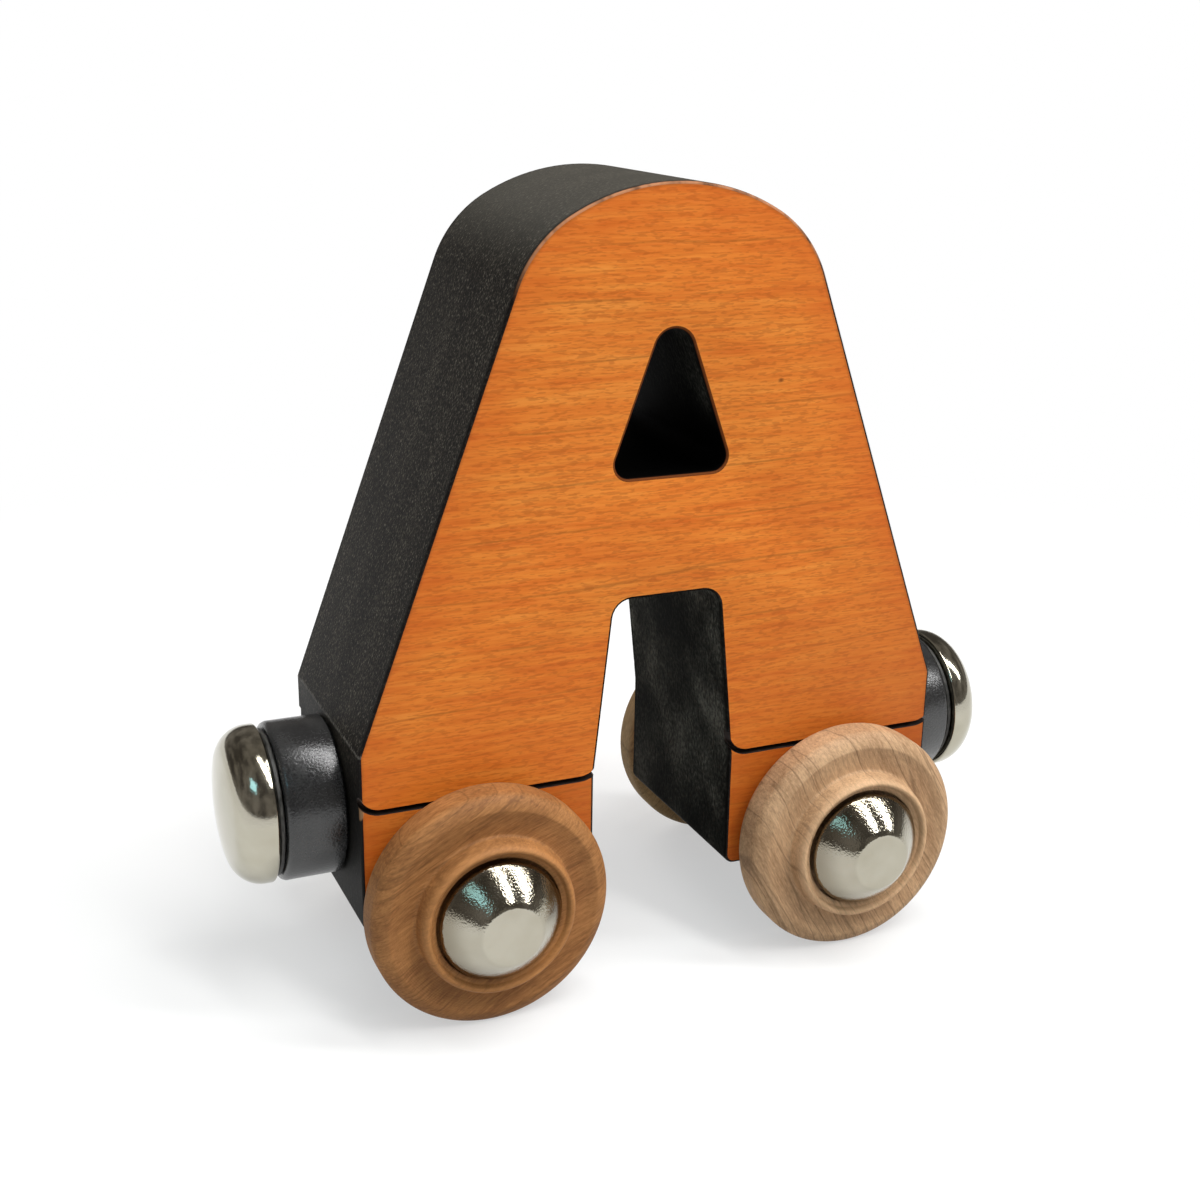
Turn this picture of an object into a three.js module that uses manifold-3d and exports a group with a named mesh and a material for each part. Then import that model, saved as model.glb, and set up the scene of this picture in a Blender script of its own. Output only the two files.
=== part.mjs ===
// A wooden letter train car: a capital A cut from hardwood board, riding on four turned wheels,
// with a magnetic coupler at each end. Millimetres, +Z up, +X along the train, the lettered face
// towards -Y, the origin on the track under the middle of the car.

import * as THREE from 'three';
import { mergeVertices } from 'three/addons/utils/BufferGeometryUtils.js';
import Module from 'manifold-3d';

// The board and the letter's outline. Every rise is measured upwards.
const boardThickness = 19.05;
const bodyLength = 51.4;
const creaseRise = 15.1;          // leg bottom to where the upright ends start to lean in
const slotRise = 25.1;            // leg bottom to the top of the slot between the legs
const crossbarHeight = 9.8;       // slot top to the counter's base
const counterHeight = 11.4;       // counter base to its rounded tip
const crownHeight = 10.9;         // counter tip to the top of the letter
const shoulderRadius = 9.8;
const shoulderSpan = 7.5;         // between the centres of the two shoulder arcs
const crownRise = 1.0;            // how far the top arc stands above the shoulder arcs
const slotWidthBottom = 12.4;
const slotWidthTop = 9.2;
const slotCornerRadius = 1.6;
const counterWidth = 10.6;
const counterCornerRadius = 1.2;
const counterTipRadius = 1.65;
const legCornerRadius = 0.9;

// The engraved line that sets the letter's rounded feet off from the base below them.
const engravingRise = 10.3;
const engravingWidth = 0.5;
const engravingDepth = 0.8;
const engravingCornerRadius = 2.0;
const engravingOverlap = 0.4;     // how far the engraved foot runs past the cut wall
const engravingShift = 0.4;       // the engraving lies this far to +X of the cut outline

// Wheels and axles.
const wheelbase = 32.8;
const axleDiameter = 2.4;
const axlePlay = 0.2;             // radial gap of the axle in the board and in the wheels
const axleTipChamfer = 0.3;
const woodUnderAxle = 2.35;       // axle line to leg bottom
const wheelDiameter = 19.74;
const wheelSideGap = 0.6;         // board face to the wheel's inner face
const innerRound = 1.45;
const treadWidth = 1.7;
const rimRoundDepth = 1.05;
const rimRoundWidth = 1.7;
const coveDepth = 0.5;            // how far the cove dips below the rim
const coveWidth = 1.0;
const hubBeadRise = 1.3;          // hub bead's crest above the rim
const hubBeadWidth = 0.7;
const hubRecessDepth = 1.8;

// Plated hub caps and the push-on clips inside them that grip the axle's ends.
const capDiameter = 9.94;
const capFaceDiameter = 4.9;
const capSkirtHeight = 1.4;
const capConeHeight = 2.5;
const capSkirtTuck = 0.35;        // how far the skirt's edge is drawn in
const capConeBulge = 0.25;
const capSheet = 0.5;
const capSideGap = 0.43;          // cap to the wall of the wheel's recess
const capSeatGap = 0.3;           // cap skirt to the floor of the recess
const clipRise = 0.6;             // skirt edge to the clip
const clipThickness = 0.4;
const clipDish = 0.5;
const clipGap = 0.15;             // clip to axle, and clip to cap
const axleTipGap = 0.6;           // axle's end to the inside of the cap's face

// Couplers: a round-headed pin through a spacer, a ring magnet and a sleeve into the board's end.
const couplerRise = 8.25;         // leg bottom to the coupler's axis
const sleeveDiameter = 12.96;
const sleeveLength = 4.8;
const sleeveWall = 1.2;
const sleeveFloor = 1.0;
const sleeveChamfer = 0.35;
const stackGap = 0.1;             // between the pieces along the coupler's axis
const spacerDiameter = 12.0;
const spacerThickness = 0.4;
const magnetSideGap = 0.2;
const headDiameter = 12.9;
const headThickness = 3.6;
const headEdgeRadius = 2.6;
const headCrown = 0.4;
const headFaceDiameter = 3.4;     // the flat in the middle of the crowned face
const shankDiameter = 3.2;
const shankDepth = 11.0;          // how far the shank goes into the board
const shankGap = 0.2;             // radial gap round the shank
const shankTipChamfer = 0.5;
const shankEndGap = 0.4;          // shank's end to the bottom of its hole

// Facets.
const wheelSides = 32;
const capSides = 24;
const couplerSides = 32;
const rodSides = 24;
const outlineStep = 9;            // degrees of arc for each facet of the board's outline
const profileStep = 22.5;         // the same for the turned pieces' profiles
const cutOverrun = 1;             // how far a cutting solid stands out of the face it cuts

// Levels above the track, worked out from the sizes. A wheel rests on one of its facets.
const wheelRadius = wheelDiameter / 2;
const axleHeight = wheelRadius * Math.cos(Math.PI / wheelSides);
const legBottom = axleHeight - woodUnderAxle;
const crease = legBottom + creaseRise;
const slotTop = legBottom + slotRise;
const counterBase = slotTop + crossbarHeight;
const counterTip = counterBase + counterHeight;
const letterTop = counterTip + crownHeight;
const engravingLevel = legBottom + engravingRise;
const couplerHeight = legBottom + couplerRise;
const boardFace = boardThickness / 2;
const bodyEnd = bodyLength / 2;
const axleRadius = axleDiameter / 2;
const boreRadius = axleRadius + axlePlay;
const shankRadius = shankDiameter / 2;
const shankHoleRadius = shankRadius + shankGap;

const wasm = await Module();
wasm.setup();

const point = (x, y) => new THREE.Vector2(x, y);

// Points on an arc round a centre, from one angle to another in radians, both ends included.
function arc(centre, radiusX, radiusY, from, to, step = outlineStep) {
  const steps = Math.max(2, Math.ceil(Math.abs(THREE.MathUtils.radToDeg(to - from)) / step));
  const points = [];
  for (let i = 0; i <= steps; i += 1) {
    const angle = from + (to - from) * i / steps;
    points.push(point(centre.x + radiusX * Math.cos(angle), centre.y + radiusY * Math.sin(angle)));
  }
  return points;
}

// The arc that rounds a corner between two straight edges.
function roundCorner(before, corner, after, radius) {
  const back = before.clone().sub(corner).normalize();
  const ahead = after.clone().sub(corner).normalize();
  const half = Math.acos(THREE.MathUtils.clamp(back.dot(ahead), -1, 1)) / 2;
  const centre = back.clone().add(ahead).normalize().multiplyScalar(radius / Math.sin(half)).add(corner);
  const start = back.multiplyScalar(radius / Math.tan(half)).add(corner).sub(centre);
  const end = ahead.multiplyScalar(radius / Math.tan(half)).add(corner).sub(centre);
  const sweep = Math.atan2(start.cross(end), start.dot(end));
  return arc(centre, radius, radius, start.angle(), start.angle() + sweep);
}

// The angle, seen from a circle's centre, at which the upper tangent from an outside point touches it.
function tangentAngle(centre, radius, outside) {
  const reach = outside.clone().sub(centre);
  return Math.atan2(reach.y, reach.x) + Math.acos(radius / reach.length());
}

// A symmetrical closed outline from its right half, which starts and ends on the middle line.
function mirrored(rightHalf) {
  const left = rightHalf.slice(1, -1).reverse().map((p) => point(-p.x, p.y));
  return [...rightHalf, ...left];
}

// Right half of the letter: slot, leg, leaning side, shoulder and top arc.
function letterOutline() {
  const slotCorner = point(slotWidthTop / 2, slotTop);
  const slotFoot = point(slotWidthBottom / 2, engravingLevel);
  const legInside = point(slotWidthBottom / 2, legBottom);
  const legOutside = point(bodyEnd, legBottom);
  const creasePoint = point(bodyEnd, crease);
  const shoulder = point(shoulderSpan / 2, letterTop - crownRise - shoulderRadius);
  const shoulderDrop = letterTop - shoulder.y;
  const crownRadius = (shoulder.x ** 2 + shoulderDrop ** 2 - shoulderRadius ** 2) / (2 * crownRise);
  const crownCentre = point(0, letterTop - crownRadius);
  const lean = tangentAngle(shoulder, shoulderRadius, creasePoint);
  const meet = shoulder.clone().sub(crownCentre).angle();
  return mirrored([
    point(0, slotTop),
    ...roundCorner(point(0, slotTop), slotCorner, slotFoot, slotCornerRadius),
    slotFoot,
    ...roundCorner(slotFoot, legInside, legOutside, legCornerRadius),
    ...roundCorner(legInside, legOutside, creasePoint, legCornerRadius),
    creasePoint,
    ...arc(shoulder, shoulderRadius, shoulderRadius, lean, meet),
    ...arc(crownCentre, crownRadius, crownRadius, meet, Math.PI / 2).slice(1),
  ]);
}

// The triangular counter, with its tip rounded more than its base corners.
function counterOutline() {
  const corner = point(counterWidth / 2, counterBase);
  const tip = point(0, counterTip - counterTipRadius);
  const lean = tangentAngle(tip, counterTipRadius, corner);
  const side = point(Math.cos(lean), Math.sin(lean)).multiplyScalar(counterTipRadius).add(tip);
  return mirrored([
    point(0, counterBase),
    ...roundCorner(point(0, counterBase), corner, side, counterCornerRadius),
    ...arc(tip, counterTipRadius, counterTipRadius, lean, Math.PI / 2),
  ]);
}

// The engraved band under one foot, whose cut walls are at the two given places along X.
function engravingOutline(wallLeft, wallRight) {
  const inset = engravingCornerRadius - engravingOverlap;
  const centreLevel = engravingLevel + engravingCornerRadius;
  const left = point(wallLeft + inset + engravingShift, centreLevel);
  const right = point(wallRight - inset + engravingShift, centreLevel);
  const outer = engravingCornerRadius + engravingWidth / 2;
  const inner = engravingCornerRadius - engravingWidth / 2;
  return [
    ...arc(left, outer, outer, Math.PI, Math.PI * 1.5),
    ...arc(right, outer, outer, Math.PI * 1.5, Math.PI * 2),
    ...arc(right, inner, inner, Math.PI * 2, Math.PI * 1.5),
    ...arc(left, inner, inner, Math.PI * 1.5, Math.PI),
  ];
}

function circlePath(x, y, radius) {
  const path = new THREE.Path();
  path.absarc(x, y, radius, 0, Math.PI * 2);
  return path;
}

function solid(geometry) {
  const bare = geometry.clone();
  bare.deleteAttribute('normal');
  bare.deleteAttribute('uv');
  const merged = mergeVertices(bare, 1e-4);
  const vertProperties = new Float32Array(merged.attributes.position.array);
  const triVerts = new Uint32Array(merged.index.array);
  return new wasm.Manifold(new wasm.Mesh({ numProp: 3, vertProperties, triVerts }));
}

function geometryOf(manifold) {
  const mesh = manifold.getMesh();
  const geometry = new THREE.BufferGeometry();
  geometry.setAttribute('position', new THREE.BufferAttribute(mesh.vertProperties, 3));
  geometry.setIndex(new THREE.BufferAttribute(mesh.triVerts, 1));
  return geometry;
}

// A flat outline, drawn in X and height, given its thickness along Y from one place to another.
function board(shape, fromY, toY) {
  const geometry = new THREE.ExtrudeGeometry(shape, {
    depth: toY - fromY,
    bevelEnabled: false,
    curveSegments: rodSides / 2,
  });
  return geometry.rotateX(Math.PI / 2).translate(0, toY, 0);
}

// The whole letter with its counter, axle bores, pin holes and engraved lines on both faces.
function letterGeometry() {
  const shape = new THREE.Shape(letterOutline());
  shape.holes.push(new THREE.Path(counterOutline()));
  for (const side of [-1, 1]) {
    shape.holes.push(circlePath(side * wheelbase / 2, axleHeight, boreRadius));
  }
  let body = solid(board(shape, -boardFace, boardFace));
  const holeLength = shankDepth + shankEndGap + cutOverrun;
  for (const side of [-1, 1]) {
    const hole = new THREE.CylinderGeometry(shankHoleRadius, shankHoleRadius, holeLength, rodSides);
    hole.rotateZ(Math.PI / 2).translate(side * (bodyEnd + cutOverrun - holeLength / 2), 0, couplerHeight);
    body = body.subtract(solid(hole));
    const walls = [side * bodyEnd, side * slotWidthBottom / 2].sort((a, b) => a - b);
    const foot = new THREE.Shape(engravingOutline(walls[0], walls[1]));
    body = body.subtract(solid(board(foot, -boardFace - cutOverrun, -boardFace + engravingDepth)));
    body = body.subtract(solid(board(foot, boardFace - engravingDepth, boardFace + cutOverrun)));
  }
  return geometryOf(body);
}

function rodGeometry() {
  const half = boardFace + axleReach;
  return new THREE.LatheGeometry([
    point(0, -half),
    point(axleRadius - axleTipChamfer, -half),
    point(axleRadius, -half + axleTipChamfer),
    point(axleRadius, half - axleTipChamfer),
    point(axleRadius - axleTipChamfer, half),
    point(0, half),
  ], rodSides);
}

// Distances outwards from the board's face, for the pieces that sit on one end of an axle.
const treadStart = wheelSideGap + innerRound;
const treadEnd = treadStart + treadWidth;
const rimFace = treadEnd + rimRoundDepth;
const beadCrest = rimFace + hubBeadRise;
const recessFloor = beadCrest - hubRecessDepth;
const skirtEdge = recessFloor + capSeatGap;
const coneBase = skirtEdge + capSkirtHeight;
const capFace = coneBase + capConeHeight;
const axleReach = capFace - capSheet - axleTipGap;

// A turned wheel: rounded tread edges, a cove, a hub bead and the recess that holds the cap.
function wheelGeometry() {
  const recessRadius = capDiameter / 2 + capSideGap;
  const beadRadius = recessRadius + hubBeadWidth / 2;
  const beadOuter = recessRadius + hubBeadWidth;
  const rimInner = wheelRadius - rimRoundWidth;
  const coveRadius = beadOuter + coveWidth;
  const profile = [
    point(boreRadius, wheelSideGap),
    ...arc(point(wheelRadius - innerRound, treadStart), innerRound, innerRound, -Math.PI / 2, 0, profileStep),
    ...arc(point(rimInner, treadEnd), rimRoundWidth, rimRoundDepth, 0, Math.PI / 2, profileStep),
    point(coveRadius, rimFace - coveDepth),
    point(beadOuter + coveWidth / 3, rimFace),
    point(beadOuter, beadCrest - hubBeadWidth / 2),
    point(beadRadius, beadCrest),
    point(recessRadius, beadCrest - hubBeadWidth / 4),
    point(recessRadius, recessFloor),
    point(boreRadius, recessFloor),
    point(boreRadius, wheelSideGap),
  ];
  return new THREE.LatheGeometry(profile, wheelSides, Math.PI / wheelSides);
}

// A pressed cap: flat face, slightly bulging cone and a short skirt drawn in at its edge.
function capGeometry() {
  const radius = capDiameter / 2;
  const faceRadius = capFaceDiameter / 2;
  const slant = point(capConeHeight, radius - faceRadius).normalize();
  const middle = point((radius + faceRadius) / 2, (coneBase + capFace) / 2);
  const bulge = middle.clone().addScaledVector(slant, capConeBulge);
  const inside = (p, across, down) => point(p.x - across, p.y - down);
  const skirt = point(radius - capSkirtTuck, skirtEdge);
  const widest = point(radius, coneBase);
  const face = point(faceRadius, capFace);
  const thin = point(capSheet * slant.x, capSheet * slant.y);
  return new THREE.LatheGeometry([
    point(0, capFace - capSheet),
    inside(face, thin.x / 2, capSheet),
    inside(bulge, thin.x, thin.y),
    inside(widest, capSheet, 0),
    inside(skirt, capSheet, 0),
    skirt,
    widest,
    bulge,
    face,
    point(0, capFace),
  ], capSides);
}

// A dished spring clip between the axle and the cap's skirt.
function clipGeometry() {
  const outer = capDiameter / 2 - capSkirtTuck - capSheet - clipGap;
  const inner = axleRadius + clipGap;
  const low = skirtEdge + clipRise;
  return new THREE.LatheGeometry([
    point(inner, low + clipDish),
    point(outer, low),
    point(outer, low + clipThickness),
    point(inner, low + clipDish + clipThickness),
    point(inner, low + clipDish),
  ], capSides);
}

// Distances outwards from the board's end, along a coupler.
const sleeveStart = stackGap;
const sleeveEnd = sleeveStart + sleeveLength;
const spacerStart = sleeveEnd + stackGap;
const headStart = spacerStart + spacerThickness + stackGap;
const headEnd = headStart + headThickness;

// A closed ring with a rectangular section.
function ringGeometry(inner, outer, start, end) {
  return new THREE.LatheGeometry([
    point(inner, start),
    point(outer, start),
    point(outer, end),
    point(inner, end),
    point(inner, start),
  ], couplerSides);
}

// A cup with a hole in its floor for the pin, open towards the coupler's head.
function sleeveGeometry() {
  const outer = sleeveDiameter / 2;
  const inner = outer - sleeveWall;
  return new THREE.LatheGeometry([
    point(shankHoleRadius, sleeveStart),
    point(outer, sleeveStart),
    point(outer, sleeveEnd - sleeveChamfer),
    point(outer - sleeveChamfer, sleeveEnd),
    point(inner, sleeveEnd),
    point(inner, sleeveStart + sleeveFloor),
    point(shankHoleRadius, sleeveStart + sleeveFloor),
    point(shankHoleRadius, sleeveStart),
  ], couplerSides);
}

function magnetGeometry() {
  const outer = sleeveDiameter / 2 - sleeveWall - magnetSideGap;
  return ringGeometry(shankHoleRadius, outer, sleeveStart + sleeveFloor + stackGap, sleeveEnd);
}

// The pin: a shank for the board, and a broad head with a rounded edge and a crowned face.
function pinGeometry() {
  const radius = headDiameter / 2;
  const edgeEnd = headEnd - headCrown;
  const edgeCentre = point(radius - headEdgeRadius, edgeEnd - headEdgeRadius);
  return new THREE.LatheGeometry([
    point(0, -shankDepth),
    point(shankRadius - shankTipChamfer, -shankDepth),
    point(shankRadius, -shankDepth + shankTipChamfer),
    point(shankRadius, headStart),
    point(radius, headStart),
    ...arc(edgeCentre, headEdgeRadius, headEdgeRadius, 0, Math.PI / 2, profileStep),
    point(headFaceDiameter / 2, headEnd),
    point(0, headEnd),
  ], couplerSides);
}

const finishes = {
  stainedMaple: { color: 0xc8692a, roughness: 0.45, metalness: 0 },
  turnedWood: { color: 0xb08a64, roughness: 0.7, metalness: 0 },
  platedSteel: { color: 0xc9c8c2, roughness: 0.18, metalness: 1 },
  brightSteel: { color: 0xa8a9ab, roughness: 0.3, metalness: 1 },
  springSteel: { color: 0x6f7073, roughness: 0.4, metalness: 1 },
  greyPlastic: { color: 0x464444, roughness: 0.45, metalness: 0 },
  blackFibre: { color: 0x181716, roughness: 0.7, metalness: 0 },
  ferrite: { color: 0x2b2a2c, roughness: 0.6, metalness: 0.1 },
};

function piece(name, geometry, finish) {
  const mesh = new THREE.Mesh(geometry, new THREE.MeshStandardMaterial(finish));
  mesh.name = name;
  return mesh;
}

const car = new THREE.Group();
car.add(piece('letter_body', letterGeometry(), finishes.stainedMaple));

for (const [end, side] of [['left', -1], ['right', 1]]) {
  const axle = new THREE.Group();
  axle.position.set(side * wheelbase / 2, 0, axleHeight);
  axle.add(piece(`${end}_axle_rod`, rodGeometry(), finishes.brightSteel));
  for (const [face, turn] of [['front', Math.PI], ['back', 0]]) {
    const wheelEnd = new THREE.Group();
    wheelEnd.rotation.z = turn;
    const geometries = [
      ['wheel', wheelGeometry(), finishes.turnedWood],
      ['hub_cap', capGeometry(), finishes.platedSteel],
      ['axle_clip', clipGeometry(), finishes.springSteel],
    ];
    for (const [kind, geometry, finish] of geometries) {
      geometry.translate(0, boardFace, 0);
      wheelEnd.add(piece(`${end}_${face}_${kind}`, geometry, finish));
    }
    axle.add(wheelEnd);
  }
  car.add(axle);

  const coupler = new THREE.Group();
  coupler.position.set(side * bodyEnd, 0, couplerHeight);
  coupler.rotation.z = -side * Math.PI / 2;
  coupler.add(piece(`${end}_coupler_sleeve`, sleeveGeometry(), finishes.greyPlastic));
  coupler.add(piece(`${end}_coupler_magnet`, magnetGeometry(), finishes.ferrite));
  const spacer = ringGeometry(shankHoleRadius, spacerDiameter / 2, spacerStart, headStart - stackGap);
  coupler.add(piece(`${end}_coupler_spacer`, spacer, finishes.blackFibre));
  coupler.add(piece(`${end}_coupler_pin`, pinGeometry(), finishes.platedSteel));
  car.add(coupler);
}

export default car;
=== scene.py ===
# %% [markdown]
# A wooden letter train car: a capital A sawn from a hardwood board, four turned wheels on two
# steel axles, and a magnetic coupler at each end. The CAD model gives every place and size, so
# this lesson starts by loading it as a fixed frame. The looks are then built around that frame.

# %% Load the frame
import math

import bpy
import numpy as np
from mathutils.geometry import tessellate_polygon
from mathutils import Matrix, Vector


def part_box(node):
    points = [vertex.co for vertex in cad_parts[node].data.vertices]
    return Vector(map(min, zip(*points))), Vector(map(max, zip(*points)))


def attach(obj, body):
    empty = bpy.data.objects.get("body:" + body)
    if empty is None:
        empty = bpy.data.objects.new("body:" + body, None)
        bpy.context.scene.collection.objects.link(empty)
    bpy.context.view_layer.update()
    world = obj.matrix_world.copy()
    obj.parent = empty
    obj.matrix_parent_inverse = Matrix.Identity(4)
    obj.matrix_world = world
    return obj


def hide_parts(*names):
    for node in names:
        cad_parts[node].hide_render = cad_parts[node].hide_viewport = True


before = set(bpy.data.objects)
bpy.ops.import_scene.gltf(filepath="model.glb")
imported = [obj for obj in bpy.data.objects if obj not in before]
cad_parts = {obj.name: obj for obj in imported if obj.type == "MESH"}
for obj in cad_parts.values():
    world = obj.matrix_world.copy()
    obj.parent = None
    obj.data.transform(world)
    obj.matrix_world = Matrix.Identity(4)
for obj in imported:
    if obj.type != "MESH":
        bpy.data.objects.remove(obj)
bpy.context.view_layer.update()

MM = 0.001

# %% [markdown]
# The camera stands in front of the car, a little to its left and above it. Its place was found
# by matching straight edges and wheel rims of the solids with the photograph, so no lens shift
# is needed. A camera looks along its own minus Z, so its matrix has the direction to the right,
# the direction up and the direction back from the object as its columns.

# %% Camera
VIEW_TURN = math.radians(-23.895)
VIEW_RISE = math.radians(18.394)
VIEW_ROLL = math.radians(0.915)
VIEW_PLACE = np.array([-55.919, -122.398, 73.906]) * MM
FOCAL_PIXELS = 1662.56
IMAGE_PIXELS = 1200
SENSOR = 36.0


def view_axes(turn, rise, roll):
    """Columns right, up and back: back follows turn and rise, and the other two roll about it."""
    flat = math.cos(rise)
    back = np.array([math.sin(turn) * flat, -math.cos(turn) * flat, math.sin(rise)])
    right = np.array([math.cos(turn), math.sin(turn), 0.0])
    up = np.cross(back, right)
    rolled_right = math.cos(roll) * right + math.sin(roll) * up
    rolled_up = math.cos(roll) * up - math.sin(roll) * right
    return np.stack([rolled_right, rolled_up, back], axis=1)


camera_data = bpy.data.cameras.new("camera")
camera_data.sensor_width = SENSOR
camera_data.lens = FOCAL_PIXELS / IMAGE_PIXELS * SENSOR
camera_data.clip_start = 0.001
camera = bpy.data.objects.new("camera", camera_data)
bpy.context.scene.collection.objects.link(camera)
camera_matrix = np.eye(4)
camera_matrix[:3, :3] = view_axes(VIEW_TURN, VIEW_RISE, VIEW_ROLL)
camera_matrix[:3, 3] = VIEW_PLACE
camera.matrix_world = camera_matrix.T.tolist()
bpy.context.scene.camera = camera
print("camera lens in mm:", round(camera_data.lens, 2))

# %% [markdown]
# Every new piece is an array of points and an array of faces. This step makes the few tools that
# all pieces share: points on an arc, a path with rounded corners, and a profile carried round an
# axis, which is what a lathe does to wood and a press does to a round cap. Whole arrays are
# computed at once, and the seam and the poles close because faces share their points there.


# %% Arcs and rounded paths
def arc(centre, radii, start, end, steps):
    """Points at centre + radii * (cos, sin) for angles in degrees from start to end."""
    angle = np.radians(np.linspace(start, end, steps + 1))
    return np.asarray(centre) + np.asarray(radii) * np.stack([np.cos(angle), np.sin(angle)], 1)


def unit(vector):
    """The vector divided by its length."""
    return vector / np.linalg.norm(vector)


def corner_arc(before, corner, after, radius, steps=6):
    """The arc that touches both edges of a corner: its centre lies on the line that halves it."""
    before, corner, after = (np.asarray(p, float) for p in (before, corner, after))
    back, ahead = unit(before - corner), unit(after - corner)
    half = math.acos(np.clip(back @ ahead, -1, 1)) / 2
    centre = corner + unit(back + ahead) * radius / math.sin(half)
    first = corner + back * radius / math.tan(half) - centre
    last = corner + ahead * radius / math.tan(half) - centre
    start = math.atan2(first[1], first[0])
    sweep = math.atan2(first[0] * last[1] - first[1] * last[0], first @ last)
    return arc(centre, (radius, radius), math.degrees(start), math.degrees(start + sweep), steps)


def rounded_path(rows):
    """Rows of x, y and corner radius, joined by straight edges, each corner replaced by its arc."""
    spots = [np.array(row[:2], float) for row in rows]
    parts = [spots[:1]]
    for i in range(1, len(rows) - 1):
        radius = rows[i][2] if len(rows[i]) > 2 else 0
        parts.append(corner_arc(spots[i - 1], spots[i], spots[i + 1], radius) if radius else [spots[i]])
    return np.concatenate(parts + [spots[-1:]])


print("a quarter arc in 6 steps:", arc((0, 0), (1, 1), 0, 90, 6).round(2).tolist())


# %% A profile carried round an axis
def signed_volume(points, faces):
    """Six times the volume is the sum of p0 . (p1 x p2) over the faces' triangle fans."""
    total = 0.0
    for corners in faces:
        for k in range(1, corners.shape[1] - 1):
            p0, p1, p2 = points[corners[:, 0]], points[corners[:, k]], points[corners[:, k + 1]]
            total += np.einsum("ij,ij->i", p0, np.cross(p1, p2)).sum()
    return total / 6


def turned(profile, centre, out, sides=144, ring=False):
    """Point (i, j) is centre + along_i * out + radius_i * (cos_j * up + sin_j * across).

    profile has rows of radius and distance along the axis. A ring's profile closes on itself,
    and any other profile starts and ends on the axis, where each pole is one point."""
    radius, along = np.asarray(profile, float).T
    out, up = np.asarray(out, float), np.array([0.0, 0.0, 1.0])
    angle = np.linspace(0, 2 * np.pi, sides, endpoint=False)
    spokes = np.cos(angle)[:, None] * up + np.sin(angle)[:, None] * np.cross(out, up)
    grid = np.asarray(centre) + along[:, None, None] * out + radius[:, None, None] * spokes
    index = np.arange(len(radius) * sides).reshape(len(radius), sides)
    index[radius == 0] = index[radius == 0][:, :1]
    here = index if ring else index[:-1]
    there = np.roll(index, -1, 0) if ring else index[1:]
    quads = np.stack([here, np.roll(here, -1, 1), np.roll(there, -1, 1), there], -1).reshape(-1, 4)
    pole_here, pole_there = quads[:, 0] == quads[:, 1], quads[:, 2] == quads[:, 3]
    fans = np.concatenate([quads[pole_here][:, [0, 2, 3]], quads[pole_there][:, [0, 1, 2]]])
    quads = quads[~(pole_here | pole_there)]
    used, packed = np.unique(np.concatenate([quads.ravel(), fans.ravel()]), return_inverse=True)
    points = grid.reshape(-1, 3)[used]
    faces = [packed[:quads.size].reshape(-1, 4), packed[quads.size:].reshape(-1, 3)]
    if signed_volume(points, faces) < 0:
        faces = [corners[:, ::-1] for corners in faces]
    return points, faces


def add_piece(name, points, faces, sharp=30.0):
    """A mesh object from points in mm, smooth except where two faces meet at more than sharp degrees."""
    mesh = bpy.data.meshes.new(name)
    mesh.from_pydata((points * MM).tolist(), [], [row for part in faces for row in part.tolist()])
    mesh.shade_smooth()
    mesh.set_sharp_from_angle(angle=math.radians(sharp))
    piece = bpy.data.objects.new(name, mesh)
    bpy.context.scene.collection.objects.link(piece)
    return piece


test_points, test_faces = turned([[0, 0], [1, 0], [1, 1], [0, 1]], (0, 0, 0), (0, 1, 0))
print("a turned unit drum has volume", round(signed_volume(test_points, test_faces), 3))

# %% [markdown]
# A finish is a small program of shader nodes. Writing it as Python expressions keeps it readable:
# a Wire is one value on its way through the tree, and arithmetic on wires adds Math nodes. One
# method adds any other node. The pattern tools below all work in millimetres on the piece's
# Object coordinates, because the pieces' places are in their meshes.


# %% Wires and finishes
class Wire:
    """One output socket of a shader tree, with arithmetic that adds Math nodes."""

    def __init__(self, tree, socket):
        self.tree = tree
        self.socket = socket

    def node(self, kind, settings=None, inputs=None, output=0):
        """Adds a node, sets its settings, then its sockets' values or links, and gives one output."""
        made = self.tree.nodes.new(kind)
        for name, value in (settings or {}).items():
            if name == "stops":
                fill_ramp(made.color_ramp, value)
            else:
                setattr(made, name, value)
        for key, value in (inputs or {}).items():
            if isinstance(value, Wire):
                self.tree.links.new(value.socket, made.inputs[key])
            else:
                made.inputs[key].default_value = value
        return Wire(self.tree, made.outputs[output])

    def math(self, operation, *values):
        """Adds a Math node on these values."""
        return self.node("ShaderNodeMath", {"operation": operation}, dict(enumerate(values)))

    def __add__(self, other):
        return self.math("ADD", self, other)

    def __sub__(self, other):
        return self.math("SUBTRACT", self, other)

    def __rsub__(self, other):
        return self.math("SUBTRACT", other, self)

    def __mul__(self, other):
        return self.math("MULTIPLY", self, other)

    def __truediv__(self, other):
        return self.math("DIVIDE", self, other)

    __radd__ = __add__
    __rmul__ = __mul__


def fill_ramp(ramp, stops):
    """Gives a colour ramp its stops, each a place from 0 to 1 and a colour."""
    while len(ramp.elements) < len(stops):
        ramp.elements.new(1.0)
    for element, (place, colour) in zip(ramp.elements, stops):
        element.position = place
        element.color = colour


def paint(red, green, blue):
    """A colour as seen on a screen, 0 to 255, as the linear values that a shader works with."""
    seen = np.array([red, green, blue]) / 255
    linear = np.where(seen <= 0.04045, seen / 12.92, ((seen + 0.055) / 1.055) ** 2.4)
    return (*linear.tolist(), 1.0)


def coordinates(material, space):
    """A wire of one of the piece's own coordinate spaces, Object or UV."""
    tree = material.node_tree
    return Wire(tree, tree.nodes.new("ShaderNodeTexCoord").outputs[space])


def new_material(name):
    """A material with its default shader, and a wire of Object coordinates in metres."""
    material = bpy.data.materials.new(name)
    material.use_nodes = True
    return material, coordinates(material, "Object")


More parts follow.
